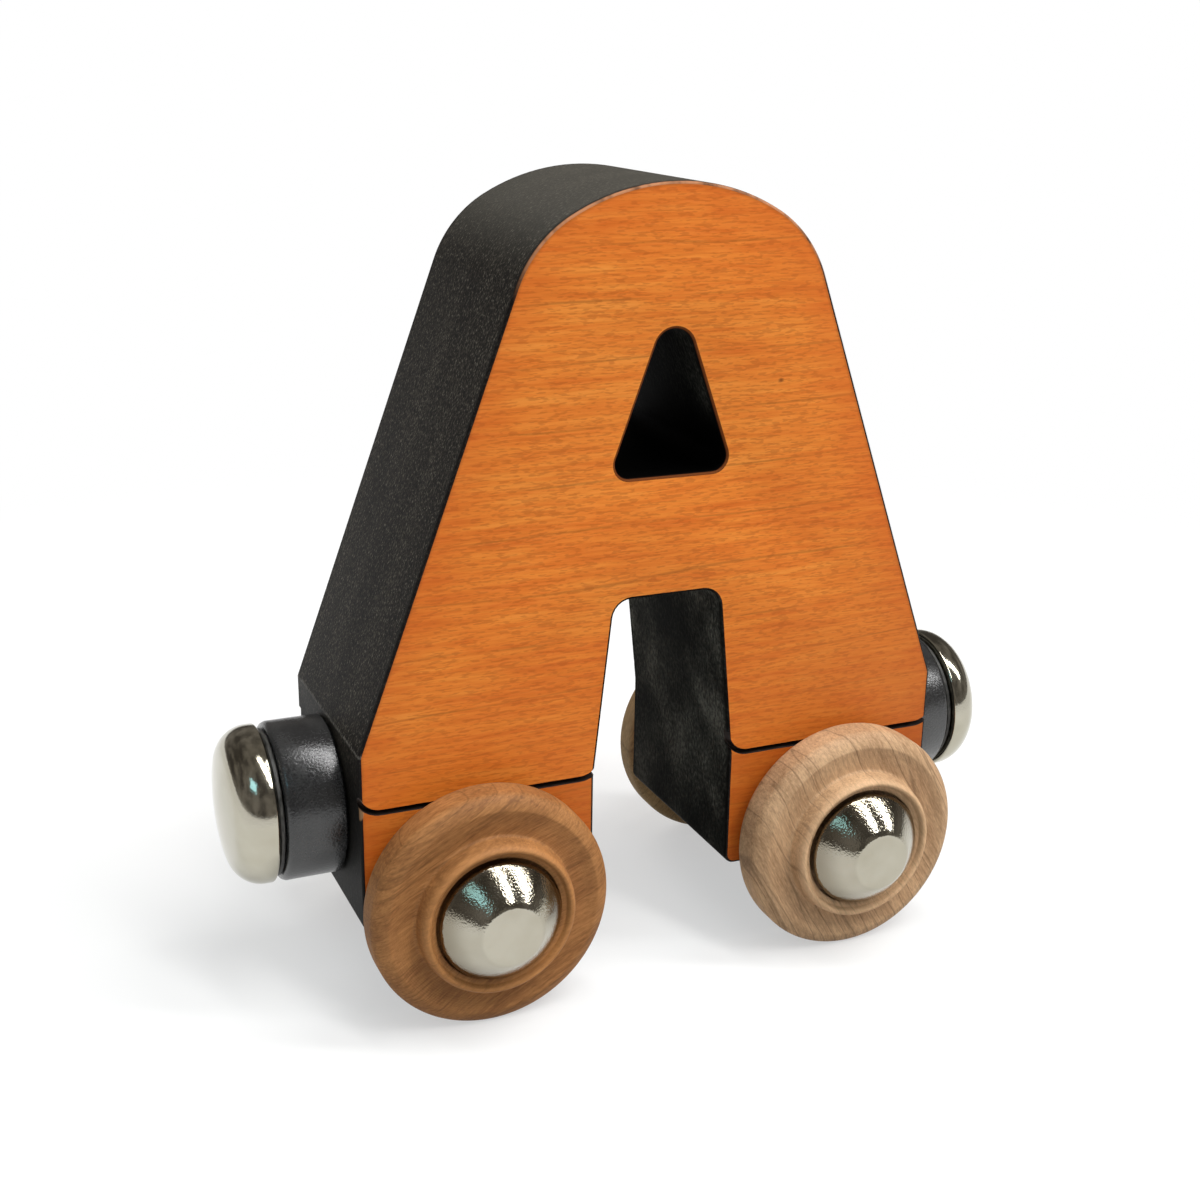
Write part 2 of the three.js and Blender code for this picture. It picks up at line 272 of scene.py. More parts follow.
def new_finish(name, centre=(0, 0, 0), turn=(0, 0, 0)):
    """A material, its Principled shader, and a wire of Object coordinates in mm from a centre."""
    material, place = new_material(name)
    middle = tuple(value * MM for value in centre)
    local = {"Vector": place, "Location": middle, "Rotation": turn, "Scale": (MM, MM, MM)}
    shader = material.node_tree.nodes["Principled BSDF"]
    return material, shader, place.node("ShaderNodeMapping", {"vector_type": "TEXTURE"}, local)


print("stain orange in linear values:", [round(v, 3) for v in paint(216, 119, 42)])


# %% Pattern tools
def noise(place, per_mm, detail=2.0, roughness=0.5, shift=(0, 0, 0)):
    """Cloudy values from 0 to 1 whose features are about 1 / per_mm long on each axis."""
    spread = {"Vector": place, "Scale": per_mm, "Location": shift}
    where = place.node("ShaderNodeMapping", {"vector_type": "POINT"}, spread)
    values = {"Vector": where, "Scale": 1.0, "Detail": detail, "Roughness": roughness}
    return place.node("ShaderNodeTexNoise", {}, values)


def between(value, low, high):
    """0 below low, 1 above high, and a smooth step from one to the other."""
    limits = {"Value": value, "From Min": low, "From Max": high, "To Min": 0.0, "To Max": 1.0}
    return value.node("ShaderNodeMapRange", {"interpolation_type": "SMOOTHSTEP"}, limits)


def blend(share, first, second):
    """Mixes two colours by a share from 0 to 1."""
    return share.node("ShaderNodeMix", {"data_type": "RGBA"}, {0: share, 6: first, 7: second}, 2)


def ramp(value, stops):
    """A colour that runs through the stops as the value grows from 0 to 1."""
    return value.node("ShaderNodeValToRGB", {"stops": stops}, {0: value})


def hypotenuse(a, b):
    """The root of a squared plus b squared."""
    return a.math("SQRT", a * a + b * b)


def zigzag(value, height):
    """Runs up to height and back down again as the value grows."""
    return value.math("PINGPONG", value, height)


def axes_of(place):
    """The three coordinates of a place as separate wires."""
    split = place.node("ShaderNodeSeparateXYZ", {}, {0: place})
    return [Wire(place.tree, socket) for socket in split.socket.node.outputs]


def feed(shader, colour, roughness, height, bump, depth):
    """Links a finish's varying values; the height goes through a Bump node that is depth mm deep."""
    relief = {"Height": height, "Strength": bump, "Distance": depth * MM}
    normal = height.node("ShaderNodeBump", {}, relief)
    for key, value in {"Base Color": colour, "Roughness": roughness, "Normal": normal}.items():
        shader.id_data.links.new(value.socket, shader.inputs[key])


pattern_tools = (noise, between, blend, ramp, hypotenuse, zigzag)
print("pattern tools:", ", ".join(tool.__name__ for tool in pattern_tools))

# %% [markdown]
# The letter's outline is sawn through the board, so its wall is a profile carried along a path:
# straight across the thickness, with a small sanded round where it meets each flat face. The
# path is the CAD outline with finer arcs. The overall sizes come from the CAD node's own box.

# %% The letter's levels
body_low, body_high = (np.array(corner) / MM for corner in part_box("letter_body"))
HALF_LENGTH, HALF_BOARD, LETTER_TOP = (float(side) for side in body_high)
LEG_BOTTOM = float(body_low[2])
CREASE = LEG_BOTTOM + 15.1
SLOT_TOP = LEG_BOTTOM + 25.1
COUNTER_BASE = SLOT_TOP + 9.8
COUNTER_TIP = COUNTER_BASE + 11.4
KERF_LEVEL = LEG_BOTTOM + 10.3
SLOT_BOTTOM_HALF, SLOT_TOP_HALF = 6.2, 4.6
SLOT_CORNER, LEG_CORNER, COUNTER_CORNER = 1.6, 0.9, 1.2
COUNTER_HALF = 5.3
COUNTER_TIP_RADIUS = 1.65
SHOULDER_RADIUS = 9.8
CROWN_RISE = 1.0
SHOULDER_OUT, SHOULDER_LEVEL = 3.75, LETTER_TOP - CROWN_RISE - SHOULDER_RADIUS
shoulder_reach = SHOULDER_OUT ** 2 + (LETTER_TOP - SHOULDER_LEVEL) ** 2
CROWN_RADIUS = (shoulder_reach - SHOULDER_RADIUS ** 2) / (2 * CROWN_RISE)
CROWN_LEVEL = LETTER_TOP - CROWN_RADIUS
SHOULDER, CROWN = np.array([SHOULDER_OUT, SHOULDER_LEVEL]), np.array([0.0, CROWN_LEVEL])
print("letter from", round(LEG_BOTTOM, 3), "to", round(LETTER_TOP, 3), "mm")
print("crown radius", round(CROWN_RADIUS, 2), "mm")


# %% The letter's outlines
def tangent_angle(centre, radius, outside):
    """Degrees at which the upper tangent from an outside point touches a circle."""
    reach = np.asarray(outside) - centre
    return math.degrees(math.atan2(reach[1], reach[0]) + math.acos(radius / np.linalg.norm(reach)))


LEAN_ANGLE = tangent_angle(SHOULDER, SHOULDER_RADIUS, (HALF_LENGTH, CREASE))
CROWN_ANGLE = math.degrees(math.atan2(*(SHOULDER - CROWN)[::-1]))


def mirrored(half):
    """A closed outline from its right half, which starts and ends on the middle line."""
    return np.concatenate([half, half[-2:0:-1] * [-1, 1]])


def letter_path():
    """Slot, leg, leaning side, shoulder arc and crown arc, as straight edges and circle arcs."""
    legs = rounded_path([
        (0, SLOT_TOP),
        (SLOT_TOP_HALF, SLOT_TOP, SLOT_CORNER),
        (SLOT_BOTTOM_HALF, KERF_LEVEL, 0),
        (SLOT_BOTTOM_HALF, LEG_BOTTOM, LEG_CORNER),
        (HALF_LENGTH, LEG_BOTTOM, LEG_CORNER),
        (HALF_LENGTH, CREASE),
    ])
    shoulder = arc(SHOULDER, (SHOULDER_RADIUS,) * 2, LEAN_ANGLE, CROWN_ANGLE, 24)
    crown = arc(CROWN, (CROWN_RADIUS,) * 2, CROWN_ANGLE, 90, 12)[1:]
    return mirrored(np.concatenate([legs, shoulder, crown]))


def counter_path():
    """The triangular opening: a level base with small corners and a rounder tip."""
    tip = np.array([0.0, COUNTER_TIP - COUNTER_TIP_RADIUS])
    corner = (COUNTER_HALF, COUNTER_BASE)
    lean = tangent_angle(tip, COUNTER_TIP_RADIUS, corner)
    top = arc(tip, (COUNTER_TIP_RADIUS,) * 2, lean, 90, 12)
    base = corner_arc((0, COUNTER_BASE), corner, top[0], COUNTER_CORNER, 10)
    return mirrored(np.concatenate([[(0, COUNTER_BASE)], base, top]))


letter_outline, counter_outline = letter_path(), counter_path()
print("outline points:", len(letter_outline), "letter,", len(counter_outline), "counter")


# %% Walls carried along the outlines
EDGE_ROUND = 0.22


def wall_profile(rounding):
    """Inset into the wood and place across the board: a quarter round, the wall, a quarter round."""
    if not rounding:
        return np.array([[0, -HALF_BOARD], [0, HALF_BOARD]])
    quarter = arc((rounding, -HALF_BOARD + rounding), (rounding, rounding), 270, 180, 5)
    return np.concatenate([quarter, quarter[::-1] * [1, -1]])


def into_wood(path, side):
    """At each path point, the step that moves both neighbouring edges inwards by one unit."""
    edge = np.roll(path, -1, 0) - path
    edge = edge / np.linalg.norm(edge, axis=1, keepdims=True)
    normal = side * np.stack([-edge[:, 1], edge[:, 0]], 1)
    before = np.roll(normal, 1, 0)
    return (normal + before) / (1 + (normal * before).sum(1, keepdims=True))


def carried_wall(path, side, rounding):
    """Point (i, k) is path_i + inset_k * inward_i in X and height, and across_k in Y.

    side is 1 for an outline with the wood inside it and -1 for an opening. The wall's own
    coordinates, the distance run along the path and the distance across, go along with it."""
    inset, across = wall_profile(rounding).T
    spots = path[:, None] + inset[:, None] * into_wood(path, side)[:, None]
    grid = np.stack([spots[..., 0], np.broadcast_to(across, spots.shape[:2]), spots[..., 1]], -1)
    index = np.arange(grid.shape[0] * grid.shape[1]).reshape(grid.shape[:2])
    ahead = np.roll(index, -1, 0)
    quads = np.stack([index[:, :-1], index[:, 1:], ahead[:, 1:], ahead[:, :-1]], -1).reshape(-1, 4)
    lengths = np.linalg.norm(np.roll(path, -1, 0) - path, axis=1)
    run = np.concatenate([[0], np.cumsum(lengths)])
    over = np.concatenate([[0], np.cumsum(np.hypot(np.diff(inset), np.diff(across)))])
    u0, v0 = np.meshgrid(run[:-1], over[:-1], indexing="ij")
    u1, v1 = np.meshgrid(run[1:], over[1:], indexing="ij")
    chart = np.stack([u0, v0, u0, v1, u1, v1, u1, v0], -1).reshape(-1, 4, 2)
    if side < 0:
        quads, chart = quads[:, ::-1], chart[:, ::-1]
    return grid.reshape(-1, 3), quads, chart, index[:, 0], index[:, -1]


ENDS = {"left": -1.0, "right": 1.0}
AXLE_PLACES = {end: np.array(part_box(f"{end}_axle_rod")).mean(0) / MM for end in ENDS}
AXLE_BORE = 1.4
bores = [arc(place[[0, 2]], (AXLE_BORE,) * 2, 0, 360, 48)[:-1] for place in AXLE_PLACES.values()]
walls = [carried_wall(letter_outline, 1, EDGE_ROUND), carried_wall(counter_outline, -1, EDGE_ROUND)]
walls += [carried_wall(bore, -1, 0) for bore in bores]
print("wall quads:", [len(wall[1]) for wall in walls])


# %% The flat faces between the walls
def flat_face(points, loops, front):
    """Fills the flat face inside the first loop and outside the others, seen from its own side."""
    ring = np.concatenate(loops)
    rows = [np.insert(points[loop][:, [0, 2]], 2, 0, 1).tolist() for loop in loops]
    triangles = ring[np.array(tessellate_polygon(rows))]
    x, z = points[triangles][..., 0], points[triangles][..., 2]
    area = (x[:, 1] - x[:, 0]) * (z[:, 2] - z[:, 0]) - (x[:, 2] - x[:, 0]) * (z[:, 1] - z[:, 0])
    turned_round = area < 0 if front else area > 0
    triangles[turned_round] = triangles[turned_round][:, ::-1]
    return triangles[np.abs(area) > 1e-9]


starts = np.cumsum([0] + [len(wall[0]) for wall in walls])
letter_points = np.concatenate([wall[0] for wall in walls])
wall_quads = np.concatenate([wall[1] + start for wall, start in zip(walls, starts)])
front_face = flat_face(letter_points, [w[3] + s for w, s in zip(walls, starts)], True)
back_face = flat_face(letter_points, [w[4] + s for w, s in zip(walls, starts)], False)
letter_faces = [wall_quads, front_face, back_face]
LETTER_SHARP = 19.0
letter = add_piece("letter", letter_points, letter_faces, LETTER_SHARP)
print("letter volume in cm3:", round(signed_volume(letter_points, letter_faces) / 1000, 2))

# %% The wall's chart and which face gets which finish
wall_chart = letter.data.uv_layers.new(name="wall")
chart_rows = np.concatenate([wall[2] for wall in walls]).reshape(-1, 2)
chart_values = np.zeros((len(letter.data.loops), 2))
chart_values[:len(chart_rows)] = chart_rows
wall_chart.data.foreach_set("uv", chart_values.ravel())
FACE_FINISH, WALL_FINISH, KERF_FINISH, SOOT_AND_SHADE_FINISH = 0, 1, 2, 3
finish_index = np.full(len(letter.data.polygons), FACE_FINISH)
wall_x, wall_z = letter_points[wall_quads].mean(1)[:, [0, 2]].T
in_opening = (np.abs(wall_x) < SLOT_BOTTOM_HALF + 0.1) & (wall_z < COUNTER_TIP + 0.5)
finish_index[:len(wall_quads)] = np.where(in_opening, SOOT_AND_SHADE_FINISH, WALL_FINISH)
letter.data.polygons.foreach_set("material_index", finish_index)
print("wall quads in the openings:", int(in_opening.sum()))

# %% [markdown]
# A router or a laser has engraved a thin dark line that rounds off the letter's feet above the
# plain base. It runs right out through the walls, so it shows as a small notch in the outline.
# Each line is a narrow U section carried along its path, taken out of the board with a Boolean
# modifier whose result is kept. The holes for the coupler pins are taken out in the same step.


# %% Cutters for the engraved lines and the pin holes
KERF_TOP, KERF_FLOOR, KERF_DEPTH = 0.48, 0.28, 0.8
KERF_CORNER = 2.0
FRONT_OVERLAP, BACK_OVERLAP = (0.3, 0.8), (0.0, 0.8)
PROUD = 0.4


def kerf_path(wall_left, wall_right, overlap):
    """Down round the foot's left corner, along its bottom edge and up round its right corner.

    overlap is how far the two corner arcs reach past the left and the right wall."""
    height = KERF_LEVEL + KERF_CORNER
    left = arc((wall_left + KERF_CORNER - overlap[0], height), (KERF_CORNER,) * 2, 180, 270, 12)
    right = arc((wall_right - KERF_CORNER + overlap[1], height), (KERF_CORNER,) * 2, 270, 360, 12)
    return np.concatenate([left, right])


def kerf_section():
    """Half widths and depths of the cut: leaning sides and a round floor, proud of the face."""
    floor = arc((0, -KERF_DEPTH + KERF_FLOOR / 2), (KERF_FLOOR / 2,) * 2, 180, 360, 8)
    slope = (KERF_TOP - KERF_FLOOR) / 2 / (KERF_DEPTH - KERF_FLOOR / 2)
    brim = KERF_TOP / 2 + slope * PROUD
    return np.concatenate([[(-brim, PROUD)], floor, [(brim, PROUD)]])


def carried_section(path, section, face):
    """Point (i, k) is path_i + width_k * sideways_i in X and height, and depth_k from a face in Y."""
    step = np.gradient(path, axis=0)
    step = step / np.linalg.norm(step, axis=1, keepdims=True)
    sideways = np.stack([-step[:, 1], step[:, 0]], 1)
    width, depth = section.T
    spots = path[:, None] + width[:, None] * sideways[:, None]
    deep = np.broadcast_to(face + np.sign(face) * depth, spots.shape[:2])
    grid = np.stack([spots[..., 0], deep, spots[..., 1]], -1)
    index = np.arange(grid.shape[0] * grid.shape[1]).reshape(grid.shape[:2])
    beside = np.roll(index, -1, 1)
    quads = np.stack([index[:-1], beside[:-1], beside[1:], index[1:]], -1).reshape(-1, 4)
    ends = np.stack([index[0, ::-1], index[-1]])
    points, faces = grid.reshape(-1, 3), [quads, ends]
    if signed_volume(points, faces) < 0:
        faces = [corners[:, ::-1] for corners in faces]
    return points, faces


COUPLER_HEIGHT = np.array(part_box("left_coupler_pin")).mean(0)[2] / MM
PIN_HOLE_RADIUS, PIN_HOLE_DEPTH, PIN_HOLE_OVERRUN = 1.8, 11.4, 1.0


def along_coupler(profile, side, sides, ring=False):
    """A profile turned round the coupler's axis, from the board's end outwards."""
    return turned(profile, (side * HALF_LENGTH, 0, COUPLER_HEIGHT), (side, 0, 0), sides, ring)


hole = [(0, -PIN_HOLE_DEPTH), (PIN_HOLE_RADIUS, -PIN_HOLE_DEPTH), (PIN_HOLE_RADIUS, PIN_HOLE_OVERRUN),
        (0, PIN_HOLE_OVERRUN)]
cutters = [along_coupler(hole, side, 48) for side in ENDS.values()]
for wall_pair in ((-HALF_LENGTH, -SLOT_BOTTOM_HALF), (SLOT_BOTTOM_HALF, HALF_LENGTH)):
    for face, overlap in ((-HALF_BOARD, FRONT_OVERLAP), (HALF_BOARD, BACK_OVERLAP)):
        cutters.append(carried_section(kerf_path(*wall_pair, overlap), kerf_section(), face))
print("cutter volumes in mm3:", [round(signed_volume(*cutter), 2) for cutter in cutters])


# %% Take the cutters out of the board
def take_out(piece, solids, finish):
    """Subtracts solids from a piece and keeps the evaluated mesh, the cut faces in one finish."""
    tools = []
    for number, (points, faces) in enumerate(solids):
        tool = add_piece(f"cutter_{number}", points, faces)
        tool.data.polygons.foreach_set("material_index", np.full(len(tool.data.polygons), finish))
        cut = piece.modifiers.new(tool.name, "BOOLEAN")
        cut.operation, cut.solver, cut.material_mode = "DIFFERENCE", "EXACT", "INDEX"
        cut.object = tool
        tools.append(tool)
    graph = bpy.context.evaluated_depsgraph_get()
    result = bpy.data.meshes.new_from_object(piece.evaluated_get(graph), depsgraph=graph)
    piece.modifiers.clear()
    piece.data = result
    for tool in tools:
        bpy.data.meshes.remove(tool.data)


for number in (FACE_FINISH, WALL_FINISH, KERF_FINISH, SOOT_AND_SHADE_FINISH):
    letter.data.materials.append(None)
take_out(letter, cutters, KERF_FINISH)
print("letter faces after the cuts:", len(letter.data.polygons))

# %% [markdown]
# The face is a fine-grained hardwood, wiped with an orange stain and a satin coat. Its grain runs
# along the train: short dark pores in fine dashes, faint growth lines that drift across, slow
# clouds of warmer and paler stain, and one pin knot. The same solid pattern goes through the
# board, so both faces agree. The saw's heat darkens the last fraction of a millimetre.


# %% Stained face
def outline_distance(x, z):
    """Millimetres inwards from the letter's outer outline, from its straight and round parts."""
    wide = x.math("ABSOLUTE", x)
    lean, meet = math.radians(LEAN_ANGLE), math.radians(CROWN_ANGLE)
    reach = SHOULDER_OUT * math.cos(lean) + SHOULDER_LEVEL * math.sin(lean) + SHOULDER_RADIUS
    from_lean = reach - (wide * math.cos(lean) + z * math.sin(lean))
    from_end = HALF_LENGTH - wide
    over, rise = wide - SHOULDER_OUT, z - SHOULDER_LEVEL
    from_shoulder = SHOULDER_RADIUS - hypotenuse(over, rise)
    from_crown = CROWN_RADIUS - hypotenuse(x, z - CROWN_LEVEL)
    angle = x.math("ARCTAN2", rise, over)
    above = angle.math("GREATER_THAN", angle, meet)
    beside = angle.math("LESS_THAN", angle, lean)
    arcs = from_shoulder * (1 - above) + from_crown * above
    sides = x.math("MINIMUM", from_lean, from_end)
    return arcs * (1 - beside) + sides * beside


CHIP_SQUEEZE, CHIP_RISE = 2.6, 0.45
KNOT_X, KNOT_Z, KNOT_SQUEEZE = 9.37, 49.27, 1.5
BARE_WOOD = paint(172, 134, 98)


def nick(x, z):
    """1 inside a thin ellipse at the left end, where a chip beside the line bares the wood."""
    chip = hypotenuse((x + HALF_LENGTH) * CHIP_SQUEEZE, z - (KERF_LEVEL + CHIP_RISE))
    return 1 - between(chip, 0.75, 1.0)


def stained_face():
    """Clouds and streaks set the tone; dashes, pores and growth lines go over it, with painted shade towards
    the bottom and the lower right.
    """
    material, shader, place = new_finish("stained_face")
    x, _, z = axes_of(place)
    clouds = noise(place, (0.035, 0.05, 0.11), 3.0, 0.55)
    streaks = noise(place, (0.11, 0.5, 1.7), 3.0, 0.6)
    dashes = noise(place, (0.38, 1.5, 5.6), 2.0, 0.6)
    pores = noise(place, (1.3, 3.0, 7.0), 1.0, 0.5)
    drift = noise(place, (0.022, 0.06, 0.12), 2.0, 0.5, (3.1, 0.0, 1.7))
    growth = (z - x * 0.03 + (drift - 0.5) * 4.0) / 4.3
    line = 1 - between(zigzag(growth, 0.5), 0.0, 0.035)
    colour = ramp(clouds * 0.5 + streaks * 0.5, [
        (0.36, paint(211, 102, 28)),
        (0.47, paint(224, 120, 38)),
        (0.55, paint(230, 131, 45)),
        (0.64, paint(236, 145, 57)),
    ])
    colour = blend(between(dashes, 0.47, 0.64) * 0.22, colour, paint(186, 88, 22))
    colour = blend(between(1 - dashes, 0.50, 0.66) * 0.16, colour, paint(244, 156, 70))
    colour = blend(between(pores, 0.50, 0.64) * 0.36, colour, paint(166, 76, 20))
    colour = blend(line * between(streaks, 0.34, 0.58) * 0.45, colour, paint(148, 78, 24))
    inwards = outline_distance(x, z)
    colour = blend((1 - between(inwards, 0.3, 4.0)) * 0.30, colour, paint(200, 88, 22))
    colour = blend((1 - between(inwards, 0.12, 0.5)) * 0.45, colour, paint(120, 58, 22))
    # Painted shade: the face is darker towards the bottom.
    colour = blend((1 - between(z, 8.0, 36.0)) * 0.30, colour, paint(190, 92, 28))
    # Painted shade: the lower right of the face is darker still.
    painted_shade_lower_right = between(x, 2.0, 18.0) * (1 - between(z, 14.0, 40.0))
    colour = blend(painted_shade_lower_right * 0.30, colour, paint(158, 82, 34))
    base_board = 1 - between(z, KERF_LEVEL - 0.4, KERF_LEVEL + 0.4)
    colour = blend(base_board * 0.35, colour, paint(176, 84, 24))
    knot = hypotenuse(x - KNOT_X, (z - KNOT_Z) * KNOT_SQUEEZE)
    colour = blend((1 - between(knot, 0.06, 0.34)) * 0.75, colour, paint(92, 42, 12))
    colour = blend(nick(x, z) * 0.7, colour, BARE_WOOD)
    relief = dashes * 0.6 + pores * 0.4
    feed(shader, colour, between(streaks, 0.2, 0.8) * 0.12 + 0.44, relief, 0.3, 0.03)
    shader.inputs["Specular IOR Level"].default_value = 0.22
    return material


face_finish = stained_face()
print("stained face nodes:", len(face_finish.node_tree.nodes))

# %% [markdown]
# The cut walls are nearly black: dye or scorch covers the wood and leaves a satin skin with a
# fine grey fleck that runs with the saw. A pattern that follows the wall needs the wall's own
# coordinates, so the chart stored with the mesh is used here: distance along the outline and
# distance across the board. The walls are darkest beside the flat faces, and the openings are
# darker than the outside, partly soot and partly painted shade. The top edge is pale, partly bare
# wood where hands rub it and partly a painted highlight, and bare wood shows in a chip at the left
# end. The wall also has a painted sheen near the top, a painted highlight along the crease and
# painted shade on the upright ends.


# %% Blackened walls and engraved line
def from_faces(y):
    """Millimetres from the nearer of the board's two flat faces."""
    return HALF_BOARD - y.math("ABSOLUTE", y)


def scorched(depth):
    """1 beside a flat face, falling to 0 as the depth below it grows."""
    return 1 - between(depth, 0.15, 0.70)


def blackened_wall():
    """Flecks along the wall over dark wood, with scorched and chipped places; a pale top edge, partly wear
    and partly painted highlight; a painted sheen on top, a painted highlight on the crease and painted shade
    on the upright ends.
    """
    material, shader, place = new_finish("blackened_wall")
    chart = coordinates(material, "UV")
    x, y, z = axes_of(place)
    fleck = noise(chart, (1.6, 3.6, 1.0), 3.0, 0.6)
    fine = noise(chart, (4.0, 6.5, 1.0), 2.0, 0.6)
    bands = noise(chart, (0.06, 0.30, 1.0), 2.0, 0.5)
    colour = ramp(fleck * 0.35 + fine * 0.55 + bands * 0.1, [
        (0.42, paint(14, 12, 10)),
        (0.49, paint(34, 30, 26)),
        (0.54, paint(50, 45, 39)),
        (0.60, paint(92, 86, 76)),
    ])
    colour = blend(between(fine, 0.63, 0.69) * 0.6, colour, paint(136, 131, 120))
    # Painted sheen: the wall is lighter near the top of the letter, where the overhead light falls.
    colour = blend(between(z, 57.0, 63.0) * 0.45, colour, paint(96, 93, 85))
    wide = x.math("ABSOLUTE", x)
    # Painted shade: the upright ends below the crease, behind the couplers, are painted nearly black.
    end_wall_painted_shade = between(wide, 20.2, 20.6) * (1 - between(z, CREASE - 4, CREASE))
    colour = blend(end_wall_painted_shade * 0.85, colour, paint(6, 5, 4))
    depth = from_faces(y)
    colour = blend(scorched(depth) * 0.8, colour, paint(16, 11, 9))
    # The top edge is painted pale: partly bare wood where it is worn, partly a painted highlight on its
    # rounding.
    edge = 1 - between(depth, 0.05, 0.20)
    broken = between(noise(chart, (0.35, 0.1, 1.0), 3.0, 0.6), 0.34, 0.54)
    colour = blend(edge * between(z, 56.0, 61.0) * broken * 0.75, colour, paint(214, 146, 102))
    colour = blend(nick(x, z) * (1 - between(depth, 0.2, 0.4)) * 0.7, colour, BARE_WOOD)
    # Painted highlight: a thin pale grey line along the crease, where the leaning side meets the upright end.
    level = z - CREASE
    crease_painted_highlight = (1 - between(level.math("ABSOLUTE", level), 0.04, 0.20)) * between(wide, 20.0, 21.0)
    colour = blend(crease_painted_highlight * between(fleck, 0.42, 0.56) * 0.6, colour, paint(128, 124, 116))
    feed(shader, colour, 0.5 + fine * 0.2, fleck * 0.5 + fine * 0.5, 0.8, 0.06)
    shader.inputs["Specular IOR Level"].default_value = 0.12
    return material


def sooted_and_shaded_wall():
    """The openings' walls: the same fleck, dull, partly sooty and partly painted shade, darker low in the
    slot and black deep in the counter.
    """
    material, shader, place = new_finish("sooted_and_shaded_wall")
    chart = coordinates(material, "UV")
    _, y, z = axes_of(place)
    fleck = noise(chart, (1.6, 3.6, 1.0), 3.0, 0.6)
    fine = noise(chart, (2.4, 3.6, 1.0), 2.0, 0.65)
    smear = noise(place, (0.10, 0.16, 0.16), 2.0, 0.5)
    colour = ramp(fleck * 0.15 + fine * 0.35 + smear * 0.5, [
        (0.40, paint(12, 12, 10)),
        (0.47, paint(42, 42, 38)),
        (0.54, paint(74, 73, 67)),
        (0.62, paint(120, 118, 109)),
    ])
    # Painted shade: the slot's walls darken towards the bottom, between the legs.
    colour = blend((1 - between(z, 5.0, 20.0)) * 0.65, colour, paint(8, 8, 7))
    # Partly soot, partly painted shade: the counter's walls are painted nearly black, a little lighter
    # towards its tip.
    counter = between(z, SLOT_TOP + 1, SLOT_TOP + 2)
    colour = blend(counter * (1 - between(z, 45.0, 50.0) * 0.4), colour, paint(2, 2, 2))
    depth = from_faces(y)
    colour = blend(scorched(depth) * 0.8, colour, paint(12, 9, 8))
    edge = 1 - between(depth, 0.05, 0.18)
    colour = blend(edge * counter * 0.45, colour, paint(158, 88, 46))
    feed(shader, colour, 0.6 + fine * 0.2, fleck * 0.5 + fine * 0.5, 0.6, 0.06)
    shader.inputs["Specular IOR Level"].default_value = 0.02
    return material


def engraved_line():
    """Dark soot in the bottom of the cut."""
    material, shader, place = new_finish("engraved_line")
    soot = noise(place, (1.6, 4.0, 4.0), 3.0, 0.6)
    colour = ramp(soot, [(0.35, paint(18, 12, 9)), (0.65, paint(44, 27, 17))])
    feed(shader, colour, 0.6 + soot * 0.3, soot, 0.4, 0.05)
    return material


finishes = [face_finish, blackened_wall(), engraved_line(), sooted_and_shaded_wall()]
for number, finish in enumerate(finishes):
    letter.data.materials[number] = finish
letter.data.set_sharp_from_angle(angle=math.radians(LETTER_SHARP))
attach(letter, "car_body")
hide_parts("letter_body")
print("letter finishes:", [finish.name for finish in finishes])

# %% [markdown]
# The wheels are turned from plain hardwood and left bare. From the rim to the hub, a wheel has a
# rounded tread, a crease, a broad shallow cove, a raised hub bead, and a lip round the recess for
# the metal cap. One profile turned round the axle gives all of it. The CAD wheel has flat facets
# and rests on one, so the round wheel takes the facets' inner radius to stand on the same floor.

# %% Wheel profile
AXLE_OUT, AXLE_HEIGHT = float(AXLE_PLACES["right"][0]), float(AXLE_PLACES["left"][2])
FLOOR_GAP = 0.002
WHEEL_RADIUS = AXLE_HEIGHT - FLOOR_GAP
WHEEL_GAP, INNER_ROUND = 0.6, 1.45
RIM_START, RIM_ROUND = 3.5, (2.0, 1.3)
RECESS_RADIUS, RECESS_FLOOR, LIP_ROUND = 5.14, 4.3, 0.06


def smooth_line(spots, steps=6):
    """A curve through all spots: between two, each neighbour pulls as in a cubic Hermite span."""
    spots = np.asarray(spots, float)
    ends = np.concatenate([[2 * spots[0] - spots[1]], spots, [2 * spots[-1] - spots[-2]]])
    slope = (ends[2:] - ends[:-2]) / 2
    t = np.linspace(0, 1, steps, endpoint=False)[None, :, None]
    a, b, da, db = spots[:-1, None], spots[1:, None], slope[:-1, None], slope[1:, None]
    span = a * (2 * t ** 3 - 3 * t ** 2 + 1) + b * (3 * t ** 2 - 2 * t ** 3)
    span = span + da * (t ** 3 - 2 * t ** 2 + t) + db * (t ** 3 - t ** 2)
    return np.concatenate([span.reshape(-1, 2), spots[-1:]])


def wheel_profile():
    """Radius and distance from the board: inner edge, tread, rim, cove and hub bead, lip, recess."""
    inner_middle = (WHEEL_RADIUS - INNER_ROUND, WHEEL_GAP + INNER_ROUND)
    inner = arc(inner_middle, (INNER_ROUND,) * 2, -90, 0, 10)
    rim = arc((WHEEL_RADIUS - RIM_ROUND[0], RIM_START), RIM_ROUND, 0, 60, 12)
    crease = [(8.66, 4.66), (8.48, 4.63)]
    cove = [(7.80, 4.46), (7.10, 4.35), (6.66, 4.33), (6.48, 4.42)]
    bead = [(6.41, 4.62), (6.36, 5.30), (6.24, 5.78), (6.02, 6.05), (5.80, 6.04), (5.66, 5.88)]
    front = smooth_line([rim[-1], *crease, *cove, *bead])
    lip = [(5.62, 5.70), (5.58, 5.63), (5.50, 5.59), (RECESS_RADIUS + LIP_ROUND, 5.51), (RECESS_RADIUS, 5.42)]
    recess = [(RECESS_RADIUS, RECESS_FLOOR), (AXLE_BORE, RECESS_FLOOR)]
    return np.concatenate([[(AXLE_BORE, WHEEL_GAP)], inner, rim, front[1:], lip, recess])


